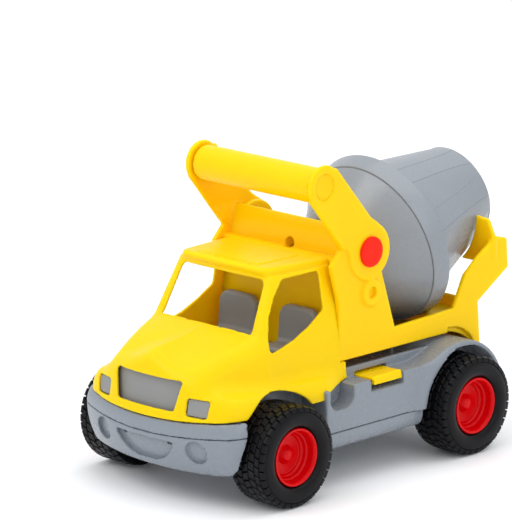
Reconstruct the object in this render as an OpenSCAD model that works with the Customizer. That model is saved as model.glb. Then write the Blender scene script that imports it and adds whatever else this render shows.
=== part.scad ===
// Toy cement mixer truck. Forward is +X, left is +Y and the ground is Z = 0.
// Lengths are millimetres. X is counted from midway between the axles, and
// place() moves the whole truck so that its box is centred on X = 0.

/* [Wheels] */
// Distance between the two axles
wheelbase = 220; // [218:1:222]
// Radius over the tyre lugs
tyre_r = 43; // [42.5:0.1:43.2]
// Outer face of the tyres, from the middle of the truck
tyre_out_y = 109; // [108:0.5:110]
// Width of a tyre
tyre_w = 39; // [37:0.5:39.5]
// Lugs in each of the two tread rows
lugs = 22; // [16:2:24]
// Seat radius of the hub inside the tyre
hub_r = 24; // [22:0.5:25]

/* [Body] */
// Half width over the chassis sides
side_y = 91; // [90:0.5:92]
// Wall thickness of the mouldings
wall = 3; // [2:0.1:3.2]
// Height of the side ledge
ledge_z = 85; // [84:0.5:85.5]
// Height of the seam between the chassis halves
seam_z = 47.5; // [46:0.5:49]
// Width of a backrest
seat_w = 44; // [30:1:45]

/* [Drum] */
// Upward slope of the drum at rest
drum_slope = 15.3; // [15:0.1:15.6]
// Largest radius, at the rear of the collar
collar_r = 76.2; // [74:0.2:76.4]
// Radius of the open mouth
mouth_r = 42; // [40:0.5:43.5]
// Radius of the cone right behind the collar
throat_r = 66.2; // [60:0.2:70]
// Thickness of the drum wall
drum_wall = 2.5; // [1.5:0.1:3]

/* [Frame] */
// Radius of the carrying handle
handle_r = 15; // [12:0.5:16]
// Radius of the plate around a pivot pin
boss_r = 24.5; // [23:0.5:25]
// Radius of a pivot pin's red head
pin_head_r = 13; // [11:0.5:14]

/* [Hidden] */

$fn = 64;
// Small overlap that lets one cut run cleanly past a face
eps = 0.5;
// Gap kept between bodies that move past each other
gap = 0.3;
// Radial running clearance of a shaft in its bearing
run = 0.05;

// Moves the truck so that its bounding box is centred on X = 0
x_shift = 12.55;

// Axles
axle_x = wheelbase / 2;
axle_z = tyre_r;
axle_r = 2.5;
axle_half = 97;
bush_r = 4.5;
well_y = 62;

// Nose of the truck in plan: one large arc with a smaller arc at each corner
nose_c = -19;
nose_r = 203;
corner_r = 13;
corner_y = side_y - corner_r;
corner_x = nose_c + sqrt(pow(nose_r - corner_r, 2) - pow(corner_y, 2));
corner_a = atan2(corner_y, corner_x - nose_c);

// Side sponsons
sponson_front = 58;
spine_front = 150;
spine_rear = -160;
deck_z = 88;
inner_wall_top = 93.5;
belly_z = 31;

// Rear fender
fender_in = 49.5;
fender_out = 54;

// Cab
cab_joint_x = 22;
cab_low_x = 16;
arch_r = 51;
cab_low_z = 77;
waist_z = 138.5;
frame_low_z = 100;

// Frame
plate_in = 66;
plate_out = 70.5;
arm_out = 73;
handle_x = 42;
handle_z = 253;
handle_disc_r = 18.5;
pivot_x = -13;
pivot_z = 189.4;
pivot_r = 5;
arch_frame_r = 57;
// Radius of the cradle's ears, inside the curved wall
ear_r = 23;

// Drum stations, counted along its axis from the point at the beam
drum_x = -23.2;
drum_z = 152.3;
bowl_s = 30;
bowl_r = 45;
seam_s = 69.7;
seam_r = 72.1;
collar_s = 86;
mouth_s = 181;
spindle_r = 4;

// Latch
latch_front = 2;
latch_rear = -34;
latch_axis_y = 60;
latch_low = 83.4;
latch_top = 86.2;
latch_axis_z = 84.8;
latch_pin_r = 1.5;
lip_z = 79.5;
notch_z = 75;

module place() {
    translate([x_shift, 0, 0])
        children();
}

// The same shape on the left and on the right
module both() {
    children();
    mirror([0, 1, 0])
        children();
}

// An outline in X and Z, extruded along Y from y0 to y1
module across(y0, y1) {
    translate([0, y1, 0])
        rotate([90, 0, 0])
            linear_extrude(y1 - y0)
                children();
}

// An outline in Y and Z, extruded along X from x0 to x1
module along(x0, x1) {
    translate([x0, 0, 0])
        rotate([90, 0, 90])
            linear_extrude(x1 - x0)
                children();
}

// A round bar along Y
module bar(x, z, y0, y1, r) {
    translate([x, y1, z])
        rotate([90, 0, 0])
            cylinder(r = r, h = y1 - y0);
}

// A box between two corners
module box(a, b) {
    translate(a)
        cube(b - a);
}

// Puts a shape that stands on +Z onto the drum's axis
module on_drum_axis() {
    translate([drum_x, 0, drum_z])
        rotate([0, drum_slope - 90, 0])
            children();
}

// Plan of the nose, drawn in by the given inset
module nose_plan(inset) {
    half = side_y - inset;
    difference() {
        intersection() {
            translate([nose_c, 0])
                circle(r = nose_r - inset, $fn = 256);
            translate([100, -half])
                square([200, 2 * half]);
        }
        for (s = [-1, 1])
            difference() {
                polygon([
                    [corner_x, s * corner_y],
                    [corner_x + 80 * cos(corner_a), s * (corner_y + 80 * sin(corner_a))],
                    [corner_x, s * (corner_y + 80)]]);
                translate([corner_x, s * corner_y])
                    circle(r = corner_r - inset, $fn = 96);
            }
    }
}

// ---- Chassis ----

// One level of the bumper, from z0 to z1
module bumper_level(z0, z1, inset, hollow) {
    translate([0, 0, z0])
        linear_extrude(z1 - z0)
            difference() {
                nose_plan(inset);
                if (hollow)
                    nose_plan(inset + wall);
            }
}

// Cuts the wheel well of the front wheel out of the bumper
module front_wells() {
    both()
        bar(axle_x, axle_z, well_y, side_y + 5, arch_r - 3);
}

module fender() {
    across(well_y - 2, side_y)
        difference() {
            translate([-axle_x, axle_z])
                circle(r = fender_out, $fn = 128);
            translate([-axle_x, axle_z])
                circle(r = fender_in, $fn = 128);
            translate([-axle_x - 80, axle_z - 80])
                square([160, 80 + seam_z - axle_z]);
            polygon([
                [-axle_x, axle_z],
                [-axle_x - 90, axle_z + 36],
                [-axle_x - 90, axle_z - 10]]);
        }
}

// The upright outer side of a sponson, between the two wheel arches
module sponson_side(z0, z1) {
    difference() {
        translate([-axle_x, z0])
            square([axle_x + sponson_front, z1 - z0]);
        translate([axle_x, axle_z])
            circle(r = arch_r + 1, $fn = 128);
        translate([-axle_x, axle_z])
            circle(r = fender_in, $fn = 128);
    }
}

// Round-bottomed pocket in the side, open at the top
module pocket() {
    translate([32, 74])
        circle(r = 7);
    translate([45, 74])
        circle(r = 7);
    translate([32, 67])
        square([13, 20]);
    translate([25, 74])
        square([27, 13]);
}

// Notch under the lip, and the slot that the plate passes through
module latch_notch() {
    box([latch_rear - 1, 76, notch_z], [latch_front + 1.5, side_y + eps, ledge_z + eps]);
    box([latch_rear - 1, latch_axis_y - 4, latch_low - 0.8], [latch_front + 1.5, 77, latch_top + 2.2]);
}

// Screw posts that hang from the deck, and the screws' places
chassis_posts = [[60, 35], [-70, 35]];
module at_chassis_posts() {
    for (p = chassis_posts, s = [-1, 1])
        translate([p[0], s * p[1], 0])
            children();
}
body_posts = [[5, 45], [-70, 45], [130, 40]];
module at_body_posts() {
    for (p = body_posts, s = [-1, 1])
        translate([p[0], s * p[1], 0])
            children();
}

module latch_lugs() {
    for (x = [latch_rear - 4.5, latch_front + 1])
        difference() {
            box([x, latch_axis_y - 4, deck_z - 8], [x + 3.5, latch_axis_y + 4, latch_axis_z + 4]);
            translate([x - 1, latch_axis_y, latch_axis_z])
                rotate([0, 90, 0])
                    cylinder(r = latch_pin_r + run, h = 6);
        }
}

module chassis_upper() {
    color("#9198a0") place()
        difference() {
            union() {
                // Front band above the bumper seam
                difference() {
                    bumper_level(60, 75, 0, true);
                    front_wells();
                }
                // Cross member that ties the band to the spine
                translate([0, 0, 60])
                    linear_extrude(4)
                        intersection() {
                            nose_plan(1);
                            translate([145, -well_y])
                                square([60, 2 * well_y]);
                        }
                // Spine with its deck
                difference() {
                    box([spine_rear, -well_y, seam_z], [spine_front, well_y, deck_z]);
                    box([spine_rear + wall, -well_y + wall, seam_z - eps],
                        [spine_front - wall, well_y - wall, deck_z - wall]);
                }
                both() {
                    // Outer side and ledge
                    across(side_y - wall, side_y)
                        sponson_side(seam_z, ledge_z);
                    across(well_y - 1, side_y - 1)
                        intersection() {
                            sponson_side(seam_z, ledge_z);
                            translate([-axle_x, ledge_z - wall])
                                square([200, wall]);
                        }
                    // Inner wall behind the ledge, curved up at its rear end
                    across(68, 71)
                        difference() {
                            translate([-86, ledge_z - 1])
                                square([100, inner_wall_top - ledge_z + 1]);
                            translate([-86, ledge_z - 9])
                                circle(r = 9);
                        }
                    box([-86, well_y - 1, deck_z - wall], [14, 70, deck_z]);
                    // Pocket liner
                    across(78, side_y - 1)
                        difference() {
                            translate([22, 64])
                                square([33, 20]);
                            pocket();
                        }
                    box([22, 75, 64], [55, 78, ledge_z - 1]);
                    // Back of the latch notch
                    box([latch_rear - 3, 72, notch_z - 3], [latch_front + 3.5, 76, ledge_z - 2]);
                    box([latch_rear - 3, 72, notch_z - 3], [latch_front + 3.5, side_y - 1, notch_z]);
                    fender();
                    latch_lugs();
                }
                at_chassis_posts()
                    translate([0, 0, seam_z])
                        cylinder(r = 4.5, h = deck_z - seam_z - 1);
            }
            both() {
                across(78, side_y + eps)
                    pocket();
                latch_notch();
                // Bore of the latch hinge, through everything beside the lugs
                translate([latch_rear - 5, latch_axis_y, latch_axis_z])
                    rotate([0, 90, 0])
                        cylinder(r = latch_pin_r + run, h = latch_front - latch_rear + 10);
            }
            at_chassis_posts()
                translate([0, 0, seam_z - eps])
                    cylinder(r = 1.5, h = 16 + eps);
            at_body_posts()
                translate([0, 0, deck_z - 10])
                    cylinder(r = 1.8, h = 20);
        }
}

// Block that carries an axle bush
module saddle(x) {
    both()
        difference() {
            union() {
                box([x - 8, 50, belly_z + 1], [x + 8, 61, seam_z]);
                box([x - 8, 50, belly_z + 1], [x + 8, well_y - wall - gap, axle_z + 8]);
            }
            bar(x, axle_z, 49, well_y + 1, bush_r);
        }
}

module chassis_lower() {
    color("#9198a0") place()
        difference() {
            union() {
                // Bumper face, drawn in towards the bottom
                difference() {
                    union() {
                        bumper_level(50, 60, 1, true);
                        bumper_level(40, 50, 3, true);
                        bumper_level(32, 40, 5, true);
                        bumper_level(28, 33, 6.5, false);
                    }
                    front_wells();
                }
                // Belly pan with open top
                difference() {
                    box([spine_rear, -well_y, belly_z], [158, well_y, seam_z]);
                    box([spine_rear + wall, -well_y + wall, belly_z + wall],
                        [spine_front - wall, well_y - wall, seam_z + eps]);
                }
                both() {
                    intersection() {
                        across(well_y - 1, side_y)
                            sponson_side(belly_z, seam_z);
                        along(-axle_x, sponson_front) {
                            translate([well_y - 2, belly_z])
                                square([side_y - well_y - 8, seam_z - belly_z]);
                            translate([well_y - 2, belly_z + 10])
                                square([side_y - well_y + 2, seam_z - belly_z - 10]);
                            translate([side_y - 10, belly_z + 10])
                                circle(r = 10);
                        }
                    }
                }
                saddle(axle_x);
                saddle(-axle_x);
                at_chassis_posts()
                    translate([0, 0, belly_z])
                        cylinder(r = 5, h = seam_z - belly_z);
            }
            // Hollow of the sponsons, open towards the upper half
            both()
                box([-axle_x + 62, well_y, belly_z + 4], [sponson_front - 6, side_y - 5, seam_z + 1]);
            // Mouth-shaped recess and the two round lamp recesses
            translate([168, 0, 55])
                along(0, 40)
                    difference() {
                        circle(r = 32);
                        translate([-40, 0])
                            square([80, 40]);
                        translate([-40, -60])
                            square([80, 42]);
                    }
            for (s = [-1, 1])
                translate([166, s * 54, 49])
                    rotate([0, 90, s * 17])
                        cylinder(r = 9.5, h = 30);
            // Passage of the axles through the walls
            for (x = [-axle_x, axle_x])
                both() {
                    bar(x, axle_z, 57, well_y + 1, bush_r);
                    box([x - bush_r, well_y - wall - gap, axle_z], [x + bush_r, well_y + 1, seam_z + 1]);
                }
            // Screws from below
            at_chassis_posts() {
                translate([0, 0, belly_z - eps])
                    cylinder(r = 1.8, h = 40);
                translate([0, 0, belly_z - eps])
                    cylinder(r = 3.6, h = 5);
            }
        }
}

// ---- Cab ----

// Side outline of bonnet, windscreen and roof, drawn in by t
module cab_side(t) {
    polygon([
        [cab_joint_x + t, frame_low_z - 30],
        [173 - t, frame_low_z - 30],
        [172 - t, 104 - t],
        [166 - t, 109 - t],
        [140 - t, 124.5 - t],
        [109 - t, 137 - t],
        [89 - t, 179],
        [92.5 - t, 186 - t],
        [88 - t, 189 - t],
        [24 + t, 189 - t],
        [cab_joint_x + t, 187 - t]]);
}

// Front outline of the cab above the fenders
module cab_front(t) {
    half = [[72, frame_low_z - 30], [72, 100], [70, 125], [66, 147], [60, 180], [56, 187], [50, 189]];
    polygon(concat(
        [for (p = half) [p[0] - t, p[1] - (p[1] > 186 ? t : 0)]],
        [for (i = [len(half) - 1:-1:0]) [t - half[i][0], half[i][1] - (half[i][1] > 186 ? t : 0)]]));
}

// Plan of the cab above the fenders
module cab_top_plan(t) {
    polygon([
        [10, -80], [70, -80], [109, -61 + t], [140, -56 + t], [172, -50 + t],
        [180 - t, 0],
        [172, 50 - t], [140, 56 - t], [109, 61 - t], [70, 80], [10, 80]]);
}

// Plan of the fenders and of the skirt behind them
module cab_low_plan(t) {
    nose_plan(t + 2);
    polygon([
        [cab_low_x + t, -72 + t], [51, -88 + t], [130, -88 + t],
        [130, 88 - t], [51, 88 - t], [cab_low_x + t, 72 - t]]);
}

module cab_solid(t) {
    intersection() {
        across(-95, 95)
            cab_side(t);
        along(0, 200)
            cab_front(t);
        linear_extrude(200)
            cab_top_plan(t);
    }
    intersection() {
        translate([0, 0, cab_low_z - (t > 0 ? 5 : 0)])
            linear_extrude(98 - t - cab_low_z + (t > 0 ? 5 : 0))
                cab_low_plan(t);
        along(0, 200)
            polygon([
                [-88 + t, 60], [-88 + t, 88 - t], [-78, 97 - t], [-60, 99 - t],
                [60, 99 - t], [78, 97 - t], [88 - t, 88 - t], [88 - t, 60]]);
    }
}

module side_window() {
    polygon([[77, 178], [37, 178], [37, 148], [70, 130], [101, 123], [97, 146]]);
}

// The whole cab moulding, before it is divided at its waist
module cab_moulding() {
    difference() {
        union() {
            difference() {
                cab_solid(0);
                cab_solid(wall);
            }
            // Posts for the body screws
            for (s = [-1, 1])
                translate([130, s * 40, deck_z])
                    cylinder(r = 4.5, h = 38.5);
        }
        // Below the body
        box([0, -100, 60], [200, 100, cab_low_z]);
        // Clear of the chassis ledge
        box([0, -100, 60], [sponson_front + gap, 100, ledge_z + gap]);
        // Room for the spine behind the wheels and the frame's own parts
        box([0, -64, 60], [spine_front + 1, 64, deck_z]);
        box([cab_low_x - 1, -100, frame_low_z], [cab_joint_x, 100, 200]);
        // Wheel arches
        both()
            bar(axle_x, axle_z, 50, 100, arch_r);
        // Windscreen
        along(80, 116)
            polygon([[-52, 139], [52, 139], [47, 177], [-47, 177]]);
        // Side windows
        across(-90, 90)
            side_window();
        // Grille and headlight openings
        along(160, 190)
            polygon([[-37, 106], [-32.5, 81], [32.5, 81], [37, 106]]);
        for (s = [-1, 1])
            along(160, 190)
                polygon([
                    [s * 64, 93.5], [s * 46, 94], [s * 44.5, 79.5], [s * 62, 79.5]]);
        for (s = [-1, 1])
            translate([130, s * 40, deck_z - eps])
                cylinder(r = 1.5, h = 14);
    }
}

// Bonnet, fenders and doors
module cab_shell() {
    color("#ffde00") place()
        difference() {
            cab_moulding();
            box([0, -100, waist_z], [200, 100, 200]);
        }
}

// Roof, windscreen pillars and the window frames above the waist
module cab_roof() {
    color("#ffde00") place()
        difference() {
            cab_moulding();
            box([0, -100, 60], [200, 100, waist_z]);
        }
}

// Grey panel that closes the grille and the headlights from behind
module front_panel() {
    color("#8c9299") place() {
        difference() {
            translate([0, 0, 78])
                linear_extrude(27)
                    intersection() {
                        difference() {
                            nose_plan(6);
                            nose_plan(9);
                        }
                        square([400, 136], center = true);
                    }
            // Above the headlights only the middle stands up
            for (s = [-1, 1])
                box([100, s > 0 ? 34.6 : -80, 94.7], [200, s > 0 ? 80 : -34.6, 120]);
        }
        // Feet on the cross member of the chassis
        for (s = [-1, 1])
            box([158, s * 40 - 6, 64], [163, s * 40 + 6, 80]);
        for (s = [-1, 1])
            box([158, s * 40 - 6, 78], [172, s * 40 + 6, 81]);
    }
}

module seat(y) {
    // Backrest
    translate([29, y, 0])
        rotate([90, 0, 90])
            linear_extrude(8) {
                translate([-seat_w / 2, 104])
                    square([seat_w, 28]);
                translate([-seat_w / 2 + 12, 104])
                    square([seat_w - 24, 40]);
                for (s = [-1, 1])
                    translate([s * (seat_w / 2 - 12), 132])
                        circle(r = 12);
            }
    // Cushion
    box([36, y - seat_w / 2, 104], [62, y + seat_w / 2, 113]);
}

module cab_interior() {
    color("#8f969d") place() {
        // Floor on legs that stand on the deck
        box([26, -64, 101], [98, 64, 104.5]);
        for (x = [30, 90], s = [-1, 1])
            box([x, s * 55 - 3, deck_z], [x + 5, s * 55 + 3, 102]);
        seat(35.5);
        seat(-35.5);
    }
}

// ---- Mixer frame ----

// Side plate with arm, rail and rear post
module plate_outline() {
    difference() {
        union() {
            polygon([
                [cab_joint_x, frame_low_z],
                [cab_joint_x, 147],
                [32, 183],
                [19.7, 196],
                [58.1, 242.5],
                [27.6, 267.1],
                [-20.4, 211.5],
                [-37, 184],
                [-29.4, 171.3],
                [-46.9, 117.3],
                [-121.2, 120],
                [-135.3, 147],
                [-150.6, 159.1],
                [-175.5, 174.4],
                [-188.6, 171],
                [-190.9, 145],
                [-152.2, 120.9],
                [-155.5, 87],
                [-146, 80],
                [-115, frame_low_z]]);
            translate([handle_x, handle_z])
                circle(r = handle_disc_r);
            translate([pivot_x, pivot_z])
                circle(r = boss_r);
        }
        translate([-axle_x, axle_z])
            circle(r = arch_frame_r, $fn = 128);
    }
}

// Arm and pivot boss, which stand proud of the plate
module arm_outline() {
    polygon([[19.7, 196], [58.1, 242.5], [27.6, 267.1], [-20.4, 211.5], [-13, 189]]);
    translate([handle_x, handle_z])
        circle(r = handle_disc_r);
    translate([pivot_x, pivot_z])
        circle(r = boss_r);
}

// Room for the drum while it lies in the frame
module drum_room(g) {
    on_drum_axis()
        rotate_extrude($fn = 128)
            polygon([
                [0, bowl_s - 20],
                [bowl_r + g, bowl_s],
                [seam_r + g, seam_s],
                [collar_r + g, collar_s - 4],
                [collar_r + g, collar_s + 1],
                [throat_r + g, collar_s + 3],
                [mouth_r + g, mouth_s],
                [mouth_r + g, mouth_s + 60],
                [0, mouth_s + 60]]);
}

module mixer_frame() {
    color("#ffde00") place()
        difference() {
            union() {
                both() {
                    across(plate_in, plate_out)
                        plate_outline();
                    across(plate_in, arm_out)
                        arm_outline();
                    // Small boss under the pivot
                    bar(-16, 153.5, plate_in, arm_out + 0.5, 11.5);
                    // Rest for the drum's cone
                    along(-174, -170)
                        polygon([[36, 152], [67, 152], [70, 158], [70, 176], [64, 189], [45, 189]]);
                }
                // Handle
                bar(handle_x, handle_z, -plate_in - 1, plate_in + 1, handle_r);
                // Curved wall between the arms
                across(-plate_in - 1, plate_in + 1)
                    intersection() {
                        difference() {
                            translate([pivot_x, pivot_z])
                                circle(r = 27);
                            translate([pivot_x, pivot_z])
                                circle(r = 24);
                        }
                        polygon([
                            [pivot_x, pivot_z],
                            [pivot_x + 60 * cos(56.4), pivot_z + 60 * sin(56.4)],
                            [pivot_x + 80, pivot_z],
                            [pivot_x + 60 * cos(50), pivot_z - 60 * sin(50)]]);
                    }
                // Shelf from the curved wall to the cab's roof
                box([11, -plate_in - 1, 180], [cab_joint_x, plate_in + 1, 187]);
                // Floor between the side plates
                box([-85, -plate_in - 1, frame_low_z], [cab_joint_x, plate_in + 1, frame_low_z + 3]);
                // Rear deck and rear wall
                box([-156, -plate_in - 1, 108], [-112, plate_in + 1, 111]);
                box([-156, -plate_in - 1, deck_z], [-153, plate_in + 1, 121]);
                // Posts that stand on the chassis deck
                for (p = [body_posts[0], body_posts[1]], s = [-1, 1])
                    translate([p[0], s * p[1], deck_z])
                        cylinder(r = 4.5, h = frame_low_z - deck_z + 1);
            }
            drum_room(gap);
            both() {
                // Seat of the pivot pin and bore of its shank
                bar(pivot_x, pivot_z, plate_in - 1, arm_out + 2, pivot_r);
                // Blind recesses in the small boss and in the handle's end
                bar(-16, 153.5, plate_out, arm_out + 2, 4.8);
                bar(handle_x, handle_z, arm_out - 1.5, arm_out + 2, 11);
            }
            for (p = [body_posts[0], body_posts[1]], s = [-1, 1])
                translate([p[0], s * p[1], deck_z - eps])
                    cylinder(r = 1.5, h = 11);
        }
}

module pivot_pin() {
    bar(pivot_x, pivot_z, arm_out, arm_out + 2.6, pin_head_r);
    bar(pivot_x, pivot_z, 58, arm_out + 1, pivot_r);
}
module pivot_pin_left() {
    color("#ff3219") place()
        pivot_pin();
}
module pivot_pin_right() {
    color("#ff3219") place()
        mirror([0, 1, 0])
            pivot_pin();
}

// ---- Latches ----

module latch() {
    // Plate through the slot in the chassis wall
    box([latch_rear + 1, latch_axis_y, latch_low], [latch_front - 1, 89, latch_top]);
    // Thumb edge with its lip over the notch
    box([latch_rear + 1, 86.5, lip_z], [latch_front - 2, 90, latch_top]);
    translate([latch_rear + 1, latch_axis_y, latch_axis_z])
        rotate([0, 90, 0])
            cylinder(r = 2, h = latch_front - latch_rear - 2);
    // Pins in the lugs
    translate([latch_rear - 3.5, latch_axis_y, latch_axis_z])
        rotate([0, 90, 0])
            cylinder(r = latch_pin_r, h = latch_front - latch_rear + 7);
}
module latch_left() {
    color("#ffde00") place()
        latch();
}
module latch_right() {
    color("#ffde00") place()
        mirror([0, 1, 0])
            latch();
}

// ---- Drum and cradle ----

module drum_cradle() {
    color("#ffde00") place()
        difference() {
            union() {
                both()
                    across(60, plate_in - gap) {
                        translate([pivot_x, pivot_z])
                            circle(r = ear_r);
                        translate([-20, 153])
                            circle(r = 9);
                        polygon([[pivot_x - 11, pivot_z], [pivot_x + 11, pivot_z], [-11, 153], [-29, 153]]);
                    }
                bar(-20, 153, -61, 61, 9);
                on_drum_axis()
                    translate([0, 0, -4])
                        cylinder(r = 12, h = 24);
            }
            both()
                bar(pivot_x, pivot_z, 55, 70, pivot_r + run);
            on_drum_axis()
                translate([0, 0, -2])
                    cylinder(r = spindle_r, h = 60);
        }
}

module drum_spindle() {
    color("#c8ccd0") place()
        on_drum_axis()
            difference() {
                translate([0, 0, -2])
                    cylinder(r = spindle_r, h = 45);
                translate([0, 0, 33])
                    cylinder(r = 1.5, h = 12);
            }
}

module spindle_washer() {
    color("#c8ccd0") place()
        on_drum_axis()
            translate([0, 0, 43])
                difference() {
                    cylinder(r = 10, h = 1.5);
                    translate([0, 0, -1])
                        cylinder(r = 1.7, h = 4);
                }
}

module spindle_screw() {
    color("#c8ccd0") place()
        on_drum_axis() {
            translate([0, 0, 34])
                cylinder(r = 1.5, h = 11);
            translate([0, 0, 44.5])
                cylinder(r = 3.2, h = 2.2);
        }
}

module drum_bush() {
    color("#e8e8e0") place()
        on_drum_axis()
            difference() {
                translate([0, 0, 20.4])
                    cylinder(r = 7, h = 22.3);
                translate([0, 0, 19])
                    cylinder(r = spindle_r + run, h = 26);
            }
}

module drum_bowl() {
    color("#9198a0") place()
        on_drum_axis()
            rotate_extrude($fn = 128)
                polygon([
                    [7, bowl_s - 4],
                    [12, bowl_s - 4],
                    [12, bowl_s - 1],
                    [bowl_r - 6, bowl_s - 1],
                    [bowl_r - 2.5, bowl_s + 0.5],
                    [bowl_r, bowl_s + 3],
                    [seam_r, seam_s],
                    [seam_r - drum_wall, seam_s],
                    [bowl_r - drum_wall, bowl_s + 3.5],
                    [bowl_r - 7, bowl_s + 1.5],
                    [12, bowl_s + 1.5],
                    [12, 42],
                    [7, 42]]);
}

module drum_cone() {
    color("#9198a0") place()
        on_drum_axis()
            rotate_extrude($fn = 128)
                polygon([
                    [seam_r - drum_wall, seam_s],
                    [seam_r + 0.9, seam_s],
                    [collar_r, collar_s],
                    [collar_r - 0.6, collar_s + 0.6],
                    [throat_r, collar_s + 0.6],
                    [mouth_r, mouth_s - 1],
                    [mouth_r - 0.8, mouth_s],
                    [mouth_r - drum_wall, mouth_s],
                    [throat_r - drum_wall, collar_s + 0.6 - drum_wall],
                    [collar_r - 1.5 - drum_wall, collar_s + 0.6 - drum_wall]]);
}

// ---- Wheels ----

// Stands a shape that points along +Z onto an axle, pointing outwards
module on_axle(x, side) {
    translate([x, 0, axle_z])
        rotate([-90 * side, 0, 0])
            children();
}

module axle(x) {
    color("#c8ccd0") place()
        bar(x, axle_z, -axle_half, axle_half, axle_r);
}
module front_axle() {
    axle(axle_x);
}
module rear_axle() {
    axle(-axle_x);
}

module hub(x, side) {
    face = tyre_out_y - 2.1;
    back = tyre_out_y - tyre_w + 4;
    color("#d8000f") place()
        on_axle(x, side)
            rotate_extrude($fn = 96)
                polygon([
                    [axle_r, back - 4],
                    [6, back - 4],
                    [6, 89],
                    [hub_r - 3, 89],
                    [hub_r - 3, back],
                    [hub_r, back],
                    [hub_r, face - 2],
                    [hub_r + 0.6, face - 1],
                    [hub_r + 0.6, face - 0.5],
                    [hub_r, face],
                    [hub_r - 1.8, face],
                    [hub_r - 2.6, face - 1],
                    [hub_r - 4, 96],
                    [hub_r - 6, 95],
                    [hub_r - 7, 92],
                    [7, 92],
                    [6, 95],
                    [4.5, 95.8],
                    [axle_r + 1, 97.6],
                    [0, 97.6],
                    [0, axle_half],
                    [axle_r, axle_half]]);
}
module hub_front_left() {
    hub(axle_x, 1);
}
module hub_front_right() {
    hub(axle_x, -1);
}
module hub_rear_left() {
    hub(-axle_x, 1);
}
module hub_rear_right() {
    hub(-axle_x, -1);
}

// One row of flat-topped lugs, out to the radius r
module lug_row(y0, y1, turn, r) {
    translate([0, 0, y0])
        linear_extrude(y1 - y0)
            difference() {
                for (i = [0:lugs - 1])
                    rotate(90 + turn + i * 360 / lugs)
                        translate([r - 10, -3.6])
                            square([10, 7.2]);
                circle(r = tyre_r - 6);
            }
}

module tyre(x, side) {
    y0 = tyre_out_y - tyre_w;
    y1 = tyre_out_y;
    base = tyre_r - 2.2;
    color("#26242a") place()
        on_axle(x, side) {
            rotate_extrude($fn = 96)
                polygon([
                    [hub_r, y0 + 4],
                    [hub_r + 4, y0 + 1],
                    [base - 5, y0],
                    [base - 1.5, y0 + 2],
                    [base, y0 + 6],
                    [base, y1 - 6],
                    [base - 1.5, y1 - 2.5],
                    [base - 4, y1 - 0.6],
                    [base - 7, y1],
                    [hub_r + 5, y1 - 0.3],
                    [hub_r + 1.5, y1 - 2],
                    [hub_r + 0.6, y1 - 3],
                    [hub_r, y1 - 4.2]]);
            lug_row(y0 + 3, y0 + 18.5, 180 / lugs, tyre_r - 0.3);
            lug_row(y0 + 19.5, y1 - 4, 0, tyre_r);
        }
}
module tyre_front_left() {
    tyre(axle_x, 1);
}
module tyre_front_right() {
    tyre(axle_x, -1);
}
module tyre_rear_left() {
    tyre(-axle_x, 1);
}
module tyre_rear_right() {
    tyre(-axle_x, -1);
}

module axle_bushes() {
    color("#e8e8e0") place()
        for (x = [-axle_x, axle_x])
            both()
                difference() {
                    union() {
                        bar(x, axle_z, 50, 63, bush_r);
                        bar(x, axle_z, well_y, 64, bush_r + 2);
                    }
                    bar(x, axle_z, 49, 65, axle_r + run);
                }
}

// ---- Screws ----

module screw(length) {
    cylinder(r = 1.5, h = length);
    translate([0, 0, -2.2])
        cylinder(r = 3.2, h = 2.2);
}

module chassis_screws() {
    color("#b8bcc0") place()
        at_chassis_posts()
            translate([0, 0, belly_z + 5 - eps])
                screw(26);
}

module body_screws() {
    color("#b8bcc0") place()
        at_body_posts()
            translate([0, 0, deck_z - wall])
                screw(12);
}

chassis_upper();
chassis_lower();
front_panel();
cab_interior();
cab_shell();
cab_roof();
mixer_frame();
pivot_pin_left();
pivot_pin_right();
latch_left();
latch_right();
drum_cradle();
drum_spindle();
spindle_washer();
spindle_screw();
drum_bush();
drum_bowl();
drum_cone();
front_axle();
rear_axle();
hub_front_left();
hub_front_right();
hub_rear_left();
hub_rear_right();
tyre_front_left();
tyre_front_right();
tyre_rear_left();
tyre_rear_right();
axle_bushes();
chassis_screws();
body_screws();
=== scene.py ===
"""Toy cement mixer truck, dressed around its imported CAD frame.

Forms are written in millimetres, with X counted from midway between the
axles, as in the CAD source. metres() shifts and scales them onto the frame.
Moulded shells are distance fields: a function that is negative inside the
plastic. moulding() turns a field into a mesh.
"""

import math

import bpy
import numpy as np
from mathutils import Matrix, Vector


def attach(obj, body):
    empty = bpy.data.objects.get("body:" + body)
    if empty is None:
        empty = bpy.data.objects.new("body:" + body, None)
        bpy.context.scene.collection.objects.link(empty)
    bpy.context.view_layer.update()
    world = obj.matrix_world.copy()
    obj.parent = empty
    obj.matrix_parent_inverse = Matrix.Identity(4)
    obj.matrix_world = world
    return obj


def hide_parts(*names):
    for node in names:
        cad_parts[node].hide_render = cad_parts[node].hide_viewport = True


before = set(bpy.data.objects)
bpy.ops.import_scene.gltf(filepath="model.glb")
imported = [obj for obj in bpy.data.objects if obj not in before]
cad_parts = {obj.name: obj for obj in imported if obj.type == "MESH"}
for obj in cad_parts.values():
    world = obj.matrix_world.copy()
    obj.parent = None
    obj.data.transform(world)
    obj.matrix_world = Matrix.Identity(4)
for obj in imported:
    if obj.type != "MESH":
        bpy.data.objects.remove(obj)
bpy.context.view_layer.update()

X_SHIFT = 12.55    # from midway between the axles to the frame's origin
AXLE_X = 110.0     # half the wheelbase
AXLE_Z = 43.0
PIVOT = (-13.0, 189.4)    # x and z of the two red pins
PIN_BORE = 5.1
SIDE_Y = 91.0      # outer face of the chassis


# ---------------------------------------------------------------- fields

def soft_step_up(t, width):
    """0 for t far below zero, t far above it, with a soft knee of this width."""
    return 0.5 * (t + np.sqrt(t * t + width * width))


def meet(a, b, radius=0.0):
    """Where both a and b hold: their common edge is rounded to this radius."""
    if radius <= 0:
        return np.maximum(a, b)
    outside = np.hypot(np.maximum(a + radius, 0), np.maximum(b + radius, 0))
    return np.minimum(np.maximum(a, b), -radius) + outside


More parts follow.
